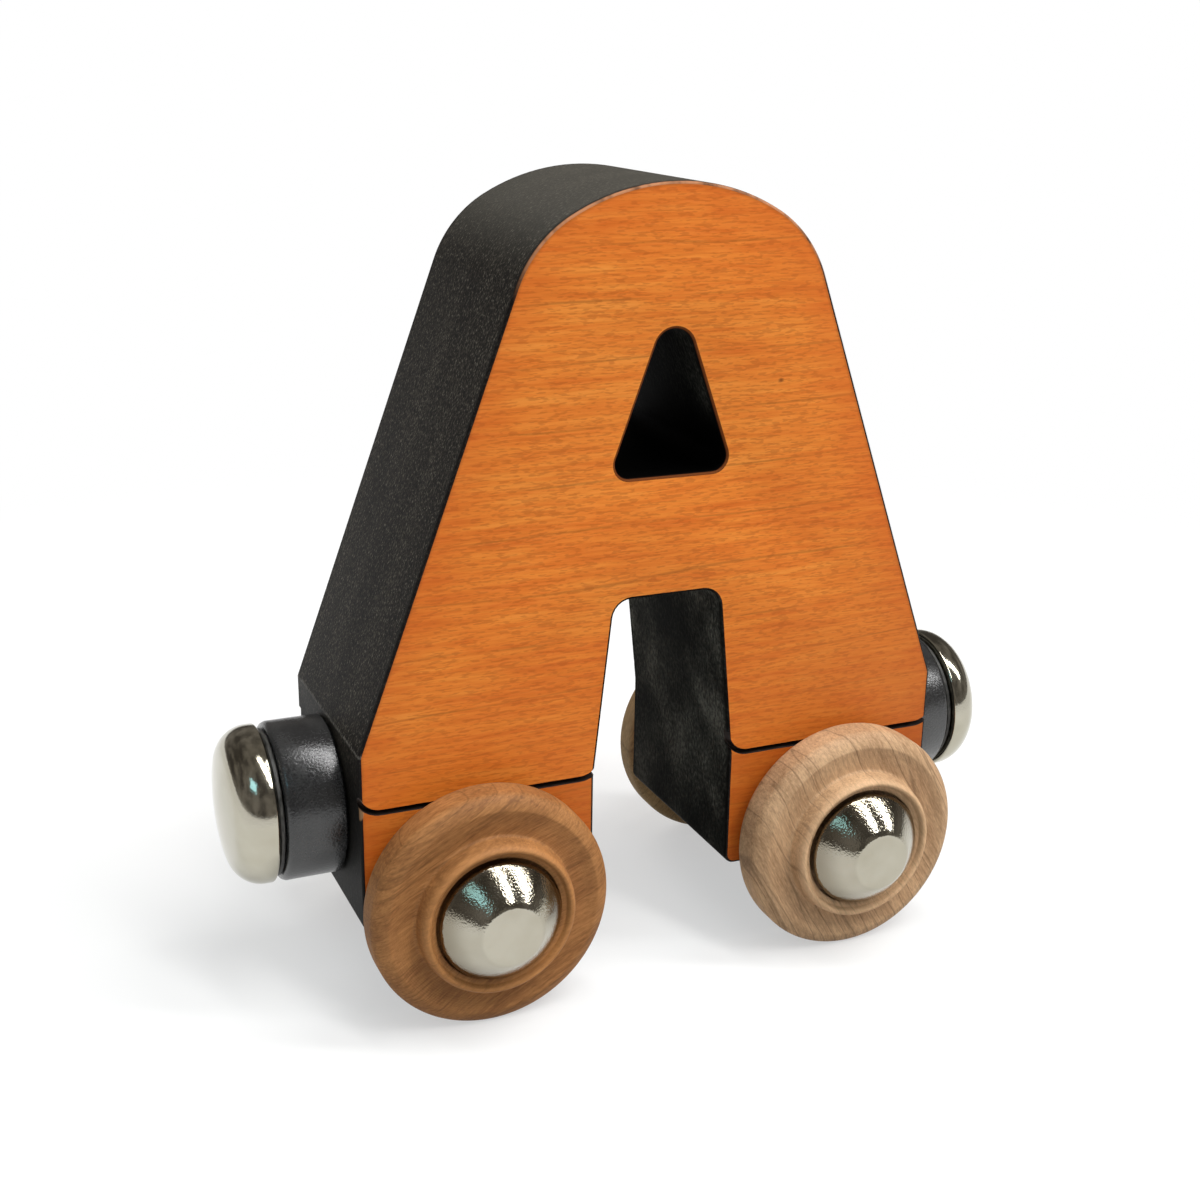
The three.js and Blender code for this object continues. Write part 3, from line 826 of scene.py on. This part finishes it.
print("wheel profile points:", len(wheel_profile()))


# %% [markdown]
# Bare wood is a stack of growth layers with fibres running through them. In each wheel the layers
# cut the face as parallel bands at some angle, because every blank was sawn differently. The
# finish turns the pattern with a Mapping node about the wheel's own axle, adds short pale and dark
# flecks along the fibres, and the faint rings that a turning tool leaves.


# %% Turned wood
TOOL_RINGS = 34.0


def turned_wood(name, centre, slant, dark, pale, band_share, shift):
    """Layers across the slanted direction, flecks along it, tool rings round the axle, and a painted
    highlight on the hub bead.
    """
    turn = (0.0, math.radians(slant), 0.0)
    material, shader, place = new_finish(name, centre, turn)
    waves = noise(place, (0.05, 0.08, 0.10), 2.0, 0.5, shift)
    along, deep, layer = axes_of(place)
    bent = layer + (waves - 0.5)
    spot = place.node("ShaderNodeCombineXYZ", {}, {0: along * 0.02, 1: deep * 0.05, 2: bent})
    layers = noise(spot, (1.0, 1.0, 0.5), 2.0, 0.5, shift)
    lines = 1 - between(zigzag(layers * 4.0, 0.5), 0.0, 0.07)
    fibre = noise(place, (0.40, 2.2, 5.0), 3.0, 0.6, shift)
    fleck = noise(place, (1.6, 6.0, 9.0), 2.0, 0.5, shift)
    deep_tone = tuple(0.5 * value for value in dark[:3]) + (1.0,)
    # A pale tone for the flecks, and for the painted highlight on the bead.
    pale_fleck_and_highlight_tone = tuple(1.35 * value for value in pale[:3]) + (1.0,)
    colour = ramp(layers * 0.5 + fibre * 0.5, [(0.34, dark), (0.66, pale)])
    colour = blend(lines * band_share, colour, deep_tone)
    colour = blend(between(fleck, 0.52, 0.68) * 0.28, colour, deep_tone)
    colour = blend(between(1 - fleck, 0.54, 0.70) * 0.22, colour, pale_fleck_and_highlight_tone)
    reach = hypotenuse(along, layer)
    # Painted highlight: a paler ring over the hub bead and the lip round the recess.
    bead_painted_highlight = between(reach, 5.20, 5.60) * (1 - between(reach, 6.10, 6.50))
    colour = blend(bead_painted_highlight * 0.35, colour, pale_fleck_and_highlight_tone)
    ripple = reach * TOOL_RINGS
    rings = ripple.math("SINE", ripple) * 0.5 + 0.5
    feed(shader, colour, 0.55 + fibre * 0.2, fibre * 0.6 + fleck * 0.6 + rings * 0.15, 0.4, 0.05)
    shader.inputs["Specular IOR Level"].default_value = 0.3
    return material


WHEELS = {
    "left_front": (-28.0, paint(126, 81, 42), paint(180, 125, 73), 0.40, (2.0, 0.0, 5.0)),
    "right_front": (62.0, paint(160, 124, 89), paint(214, 176, 136), 0.60, (7.0, 1.0, 2.5)),
    "left_back": (20.0, paint(166, 134, 92), paint(208, 172, 126), 0.40, (4.0, 3.0, 8.0)),
    "right_back": (-70.0, paint(158, 128, 86), paint(204, 170, 122), 0.45, (9.0, 5.0, 1.0)),
}
print("grain slants in degrees:", {name: row[0] for name, row in WHEELS.items()})


# %% The four wheels
def wheel_spot(spot_name):
    """The axle's end, the point where the axle leaves the board, and the direction outwards."""
    end, face_name = spot_name.split("_")
    outwards = -1.0 if face_name == "front" else 1.0
    axle = AXLE_PLACES[end]
    return end, (axle[0], outwards * HALF_BOARD, axle[2]), (0, outwards, 0)


def dress(piece, finish, body, node):
    """Gives a piece its finish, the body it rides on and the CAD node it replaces."""
    piece.data.materials.append(finish)
    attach(piece, body)
    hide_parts(node)


for spot_name, (slant, dark, pale, band_share, shift) in WHEELS.items():
    _, middle, outwards = wheel_spot(spot_name)
    wheel = add_piece(f"{spot_name}_turned_wheel", *turned(wheel_profile(), middle, outwards, 192, True))
    finish = turned_wood(f"{spot_name}_wood", middle, slant, dark, pale, band_share, shift)
    dress(wheel, finish, f"{spot_name}_wheel", f"{spot_name}_wheel")
    print(wheel.name, "has", len(wheel.data.polygons), "faces")

# %% [markdown]
# Hub caps and coupler heads are pressed or headed steel with a thin bright nickel skin. Their
# shapes are turned profiles again: the cap is a shallow cone with a flat face and a short skirt,
# made of thin sheet, and the head is a broad button with a rounded edge on a straight shank.
# Nickel is a little warm, and the plating follows the tiny orange-peel bumps of the steel, which
# are coarser on the caps. A cap's cone is painted duller towards its rim, partly tarnish and partly
# a painted darker reflection, so its face stands out as a disc.


# %% Nickel plate
TARNISH_AND_PAINTED_REFLECTION = (0.16, 0.13, 0.09, 1.0)
FACE_RING, RIM_RING = (2.30, 2.62), (3.10, 4.95)


def nickel_plate(name, peel_depth, tarnish_and_reflection):
    """A warm bright metal whose orange-peel bumps are peel_depth mm deep.

    A cap's cone is painted duller outside its flat face and towards its rim, by distance from the axle:
    partly tarnish, partly a painted darker reflection."""
    material, shader, place = new_finish(name)
    peel = noise(place, (6.0, 6.0, 6.0), 1.0, 0.5)
    haze = noise(place, (0.25, 0.25, 0.25), 3.0, 0.5)
    colour = ramp(haze, [(0.35, (0.42, 0.395, 0.315, 1.0)), (0.65, (0.49, 0.465, 0.385, 1.0))])
    if tarnish_and_reflection:
        x, _, z = axes_of(place)
        reach = hypotenuse(x.math("ABSOLUTE", x) - AXLE_OUT, z - AXLE_HEIGHT)
        # Partly tarnish, partly a painted darker reflection: the cone is duller outside the flat face and
        # towards the rim.
        colour = blend(between(reach, *FACE_RING) * 0.16, colour, TARNISH_AND_PAINTED_REFLECTION)
        colour = blend(between(reach, *RIM_RING) * 0.62, colour, TARNISH_AND_PAINTED_REFLECTION)
    feed(shader, colour, 0.06 + haze * 0.10, peel, 1.0, peel_depth)
    shader.inputs["Metallic"].default_value = 1.0
    return material


cap_nickel = nickel_plate("cap_nickel", 0.019, True)
head_nickel = nickel_plate("head_nickel", 0.005, False)
print("nickel nodes:", len(cap_nickel.node_tree.nodes), "cap,", len(head_nickel.node_tree.nodes), "head")

# %% Hub caps
CAP_TOP = 8.5
CAP_FACE_EDGE, CAP_BASE_EDGE = np.array([2.45, CAP_TOP]), np.array([4.97, 6.0])
CAP_BULGE = 0.4


def cap_profile():
    """Outside from the dished face over its brow, down the cone to the skirt, then up the inside.

    A cone point at share t adds bulge * t * (1 - t), square to the line from face to base."""
    t = np.linspace(0.10, 0.96, 14)[:, None]
    fall = CAP_BASE_EDGE - CAP_FACE_EDGE
    flank = CAP_FACE_EDGE + t * fall + CAP_BULGE * t * (1 - t) * np.abs(unit(fall)[::-1])
    brow = smooth_line([(1.9, CAP_TOP), (2.26, CAP_TOP), (2.46, 8.45), flank[0], flank[1]], 5)
    brow[:, 1] = np.minimum(brow[:, 1], CAP_TOP)
    skirt = smooth_line([flank[-1], (4.965, 5.90), (4.90, 5.6), (4.62, 4.62)], 5)
    inside = [(4.55, 4.6), (4.14, 4.62), (4.42, 5.9), (3.3, 7.35), (2.2, 8.0), (0, 8.0)]
    dish = [(0, 8.45), (0.7, 8.455), (1.4, 8.475)]
    return np.concatenate([dish, brow[:-1], flank[1:-1], skirt, inside])


METAL_SHARP = 40.0
for spot_name in WHEELS:
    end, middle, outwards = wheel_spot(spot_name)
    cap = add_piece(f"{spot_name}_cap", *turned(cap_profile(), middle, outwards), METAL_SHARP)
    dress(cap, cap_nickel, f"{end}_axle", f"{spot_name}_hub_cap")
print("caps of", len(cap.data.polygons), "faces each")


# %% Coupler heads
COUPLER_SIDES = 160
HEAD_RADIUS, HEAD_BACK, HEAD_TOP = 6.45, 5.5, 9.1
EDGE_RADIUS, EDGE_LEVEL, EDGE_SWEEP = 2.6, 6.1, 78.1
SHANK_RADIUS, SHANK_DEPTH, SHANK_TIP = 1.6, 11.0, 0.5


def head_profile():
    """Crown and edge arc share a tangent, then the flank, the underside and the shank."""
    edge = arc((HEAD_RADIUS - EDGE_RADIUS, EDGE_LEVEL), (EDGE_RADIUS,) * 2, EDGE_SWEEP, 0, 14)
    reach, drop = edge[0, 0], HEAD_TOP - edge[0, 1]
    crown_radius = (reach ** 2 + drop ** 2) / (2 * drop)
    top = 90 - math.degrees(math.asin(reach / crown_radius))
    crown = arc((0, HEAD_TOP - crown_radius), (crown_radius,) * 2, 90, top, 10)
    crown[0] = (0, HEAD_TOP)
    foot = rounded_path([
        (HEAD_RADIUS, EDGE_LEVEL - 0.1),
        (HEAD_RADIUS, HEAD_BACK, 0.2),
        (SHANK_RADIUS, HEAD_BACK),
        (SHANK_RADIUS, SHANK_TIP - SHANK_DEPTH),
        (SHANK_RADIUS - SHANK_TIP, -SHANK_DEPTH),
        (0, -SHANK_DEPTH),
    ])
    return np.concatenate([crown, edge[1:], foot])


for end, side in ENDS.items():
    surface = along_coupler(head_profile(), side, COUPLER_SIDES)
    head = add_piece(f"{end}_button_pin", *surface, METAL_SHARP)
    dress(head, head_nickel, "car_body", f"{end}_coupler_pin")
print("coupler heads of", len(head.data.polygons), "faces each")

# %% [markdown]
# Behind each head sit a thin dark washer and a charcoal sleeve that hides the ring magnet. The
# sleeve is moulded, satin, with a fine grain that catches the light as a broad soft band, and
# its outer edge has a small chamfer.


# %% Sleeves and washers
def charcoal_sleeve():
    """Fine grain and a slow smear in the colour; the grain alone in the gloss and the relief."""
    material, shader, place = new_finish("charcoal_sleeve")
    grain = noise(place, (5.0, 6.0, 6.0), 2.0, 0.6)
    smear = noise(place, (0.6, 0.2, 0.2), 2.0, 0.5)
    colour = ramp(grain * 0.5 + smear * 0.5, [(0.38, paint(28, 28, 29)), (0.62, paint(50, 50, 50))])
    feed(shader, colour, 0.10 + grain * 0.22, grain, 0.9, 0.025)
    shader.inputs["Specular IOR Level"].default_value = 0.75
    return material


def dark_washer():
    """Pressed fibre: short pale strands in a nearly black ring."""
    material, shader, place = new_finish("dark_washer")
    fibre = noise(place, (6.0, 1.5, 1.5), 2.0, 0.6)
    colour = ramp(fibre, [(0.35, paint(26, 25, 24)), (0.70, paint(78, 76, 72))])
    feed(shader, colour, 0.35 + fibre * 0.3, fibre, 0.4, 0.04)
    return material


SLEEVE_RADIUS, SLEEVE_CUP = 6.48, 5.28
SLEEVE_BACK, SLEEVE_FLOOR, SLEEVE_FRONT = 0.1, 1.1, 4.9
WASHER_RADIUS, WASHER_EDGE = 6.0, 5.9
WASHER_BACK, WASHER_FRONT = 5.0, 5.4
sleeve_rows = [(PIN_HOLE_RADIUS, SLEEVE_BACK), (6.30, SLEEVE_BACK), (SLEEVE_RADIUS, 0.28),
               (SLEEVE_RADIUS, 4.50), (6.36, 4.74), (6.12, SLEEVE_FRONT), (SLEEVE_CUP, SLEEVE_FRONT),
               (SLEEVE_CUP, SLEEVE_FLOOR), (PIN_HOLE_RADIUS, SLEEVE_FLOOR)]
washer_rows = [(PIN_HOLE_RADIUS, WASHER_BACK), (WASHER_EDGE, WASHER_BACK), (WASHER_RADIUS, 5.08),
               (WASHER_RADIUS, 5.32), (WASHER_EDGE, WASHER_FRONT), (PIN_HOLE_RADIUS, WASHER_FRONT)]
stack = {"sleeve": (sleeve_rows, charcoal_sleeve(), "grey_plastic"),
         "spacer": (washer_rows, dark_washer(), "black_fibre")}
for end, side in ENDS.items():
    for part, (rows, finish, slot) in stack.items():
        piece = add_piece(f"{end}_{part}", *along_coupler(rows, side, COUPLER_SIDES, True))
        dress(piece, finish, "car_body", f"{end}_coupler_{part}")
        print(piece.name, "has", len(piece.data.polygons), "faces")

# %% [markdown]
# The axle rods are ground steel, and what little shows of them is in the gap between wheel and
# board. The clips inside the caps and the ring magnets keep their CAD shape, which is hidden, and
# only get a finish: blued spring steel and matt grey ferrite.


# %% Axles, clips and magnets
def plain_metal(name, dark, pale, rough, stretch):
    """Bare steel with faint marks that are finer where stretch is larger."""
    material, shader, place = new_finish(name)
    marks = noise(place, stretch, 3.0, 0.6)
    feed(shader, ramp(marks, [(0.3, dark), (0.7, pale)]), rough + marks * 0.2, marks, 0.2, 0.02)
    shader.inputs["Metallic"].default_value = 1.0
    return material


def ferrite():
    """Matt grey dust, pressed and fired."""
    material, shader, place = new_finish("ferrite_magnet")
    dust = noise(place, (4.0, 4.0, 4.0), 4.0, 0.7)
    colour = ramp(dust, [(0.3, paint(34, 33, 35)), (0.7, paint(58, 57, 58))])
    feed(shader, colour, 0.5 + dust * 0.3, dust, 0.4, 0.04)
    return material


rod_steel = plain_metal("ground_steel", (0.36, 0.36, 0.37, 1), (0.52, 0.52, 0.53, 1), 0.22, (9.0, 1.0, 9.0))
clip_steel = plain_metal("spring_steel", (0.14, 0.14, 0.16, 1), (0.24, 0.24, 0.26, 1), 0.3, (2.0, 2.0, 2.0))
magnet_finish = ferrite()
ROD_RADIUS, ROD_TIP = 1.2, 0.3
for end, axle in AXLE_PLACES.items():
    half = np.array(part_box(f"{end}_axle_rod"))[1][1] / MM
    tips = [(ROD_RADIUS, -half, ROD_TIP), (ROD_RADIUS, half, ROD_TIP)]
    rod = add_piece(f"{end}_rod", *turned(rounded_path([(0, -half), *tips, (0, half)]), axle, (0, 1, 0), 48))
    dress(rod, rod_steel, f"{end}_axle", f"{end}_axle_rod")
hidden = {"_axle_clip": clip_steel, "_coupler_magnet": magnet_finish}
for name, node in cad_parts.items():
    for ending, finish in hidden.items():
        if name.endswith(ending):
            node.material_slots[0].material = finish
            print(name, "gets", finish.name)

# %% [markdown]
# The set is a pale floor under soft overhead light. Polished nickel shows what is round it, so on
# a bare white set it would look like white plastic. A dim canopy that only mirrors see gives the
# metal something dark above the horizon. The camera, mirrors and glass see the background and the
# far floor as white, and near the car the floor keeps its soft shadow.


# %% Floor
def seen_directly(wire):
    """1 for camera, glossy and transmission rays, and 0 for the rays that carry light."""
    rays = wire.node("ShaderNodeLightPath", {}, {}).socket.node.outputs
    camera_ray, glossy, through = (Wire(wire.tree, rays[k]) for k in
                                   ("Is Camera Ray", "Is Glossy Ray", "Is Transmission Ray"))
    seen = camera_ray + glossy + through
    return seen.math("MINIMUM", seen, 1.0)


def show(material, surface):
    """Links a shader to the material's output, in place of the default one."""
    tree = material.node_tree
    tree.links.new(surface.socket, tree.nodes["Material Output"].inputs["Surface"])


FLOOR_COLOUR = (0.45, 0.45, 0.445, 1.0)
FLOOR_LIFT = 0.50
FLOOR_NEAR, FLOOR_FAR = 0.07, 0.17
FLOOR_HALF = 4000.0

floor_finish, floor_spot = new_material("pale_floor")
seen = seen_directly(floor_spot)
matt = floor_spot.node("ShaderNodeBsdfDiffuse", {}, {"Color": FLOOR_COLOUR})
lift = floor_spot.node("ShaderNodeEmission", {}, {"Strength": seen * FLOOR_LIFT})
near = floor_spot.node("ShaderNodeAddShader", {}, {0: matt, 1: lift})
white = floor_spot.node("ShaderNodeEmission", {}, {"Strength": 1.0})
reach = floor_spot.node("ShaderNodeVectorMath", {"operation": "LENGTH"}, {0: floor_spot}, "Value")
far = between(reach, FLOOR_NEAR, FLOOR_FAR) * seen
show(floor_finish, floor_spot.node("ShaderNodeMixShader", {}, {0: far, 1: near, 2: white}))

floor_corners = np.array([[-1, -1, 0], [1, -1, 0], [1, 1, 0], [-1, 1, 0]]) * FLOOR_HALF
floor = add_piece("floor", floor_corners, [np.array([[0, 1, 2, 3]])])
floor.data.materials.append(floor_finish)
print("floor", FLOOR_COLOUR[0], "lifted by", FLOOR_LIFT, "where it is seen directly")

# %% Background
ROOM_LIGHT = 0.30
world = bpy.data.worlds.new("background")
world.use_nodes = True
bpy.context.scene.world = world
backdrop = world.node_tree.nodes["Background"]
sky = Wire(world.node_tree, backdrop.outputs[0])
strength = seen_directly(sky) * (1.0 - ROOM_LIGHT) + ROOM_LIGHT
world.node_tree.links.new(strength.socket, backdrop.inputs["Strength"])
backdrop.inputs["Color"].default_value = (1, 1, 1, 1)
print("room light", ROOM_LIGHT)

# %% The dim canopy
CANOPY_RADIUS = 1500.0
CANOPY_RISE = (2.0, 88.0)


def dome(radius, rise_range, sides=64, rings=20):
    """Point (i, j) is radius * (cos rise_i * cos turn_j, cos rise_i * sin turn_j, sin rise_i)."""
    rise = np.radians(np.linspace(*rise_range, rings))[:, None]
    turn = np.linspace(0, 2 * np.pi, sides, endpoint=False)[None]
    level = np.sin(rise) * np.ones_like(turn)
    grid = radius * np.stack([np.cos(rise) * np.cos(turn), np.cos(rise) * np.sin(turn), level], -1)
    index = np.arange(rings * sides).reshape(rings, sides)
    here, there = index[:-1], index[1:]
    quads = np.stack([here, there, np.roll(there, -1, 1), np.roll(here, -1, 1)], -1).reshape(-1, 4)
    return grid.reshape(-1, 3), [quads, index[-1:, ::-1]]


canopy = add_piece("canopy", *dome(CANOPY_RADIUS, CANOPY_RISE))
canopy_finish, canopy_spot = new_material("dim_room")
patches = noise(canopy_spot, (1.6, 1.6, 2.4), 3.0, 0.6)
room_colour = ramp(patches, [(0.40, (0.07, 0.063, 0.056, 1.0)), (0.62, (0.24, 0.22, 0.20, 1.0))])
dim = {"Color": room_colour, "Strength": 1.0}
show(canopy_finish, canopy_spot.node("ShaderNodeEmission", {}, dim))
canopy.data.materials.append(canopy_finish)
for ray in ("camera", "diffuse", "transmission", "volume_scatter", "shadow"):
    setattr(canopy, f"visible_{ray}", False)
print("canopy of", len(canopy.data.polygons), "faces")

# %% [markdown]
# The lamps are large and soft, so shadows have no hard edge. Two long strips overhead do most of
# the lighting and show in the nickel as bright bands, and a cool window gives its blue-green patch.
# Two fills that mirrors don't see open up the front and the back.

# %% Lamps
CAR_MIDDLE = np.array([0, 0, 0.035])
STRIP = (0.13, 0.90)


def area_lamp(name, direction, distance, size, watts, colour=(1, 1, 1), in_mirrors=True):
    """A soft rectangular lamp that stands off in a direction and faces the car's middle."""
    lamp_data = bpy.data.lights.new(name, "AREA")
    lamp_data.shape = "RECTANGLE"
    lamp_data.size, lamp_data.size_y = size
    lamp_data.energy = watts
    lamp_data.color = colour
    lamp = bpy.data.objects.new(name, lamp_data)
    bpy.context.scene.collection.objects.link(lamp)
    towards = unit(np.asarray(direction, float))
    sideways = unit(np.cross((0, 0, 1), towards))
    matrix = np.eye(4)
    matrix[:3, :3] = np.stack([sideways, np.cross(towards, sideways), towards], 1)
    matrix[:3, 3] = CAR_MIDDLE + towards * distance
    lamp.matrix_world = matrix.T.tolist()
    lamp.visible_glossy = in_mirrors
    lamp.visible_camera = False


area_lamp("left_strip", (0.15, -0.33, 0.86), 1.0, STRIP, watts=5.2)
area_lamp("right_strip", (0.61, -0.28, 0.80), 1.0, STRIP, watts=5.2)
area_lamp("window", (-0.58, -0.50, 0.64), 1.0, (0.34, 0.24), watts=0.5, colour=(0.40, 0.84, 1.0))
area_lamp("front_fill", (0.05, -0.62, 0.78), 0.38, (0.30, 0.25), watts=0.4, in_mirrors=False)
area_lamp("back_fill", (-0.10, 0.80, 0.60), 0.60, (0.50, 0.40), watts=1.0, in_mirrors=False)

# %% [markdown]
# The colours are written as they should look, so the view transform stays plain. The looks never
# change the size.

bpy.context.scene.view_settings.view_transform = "Standard"
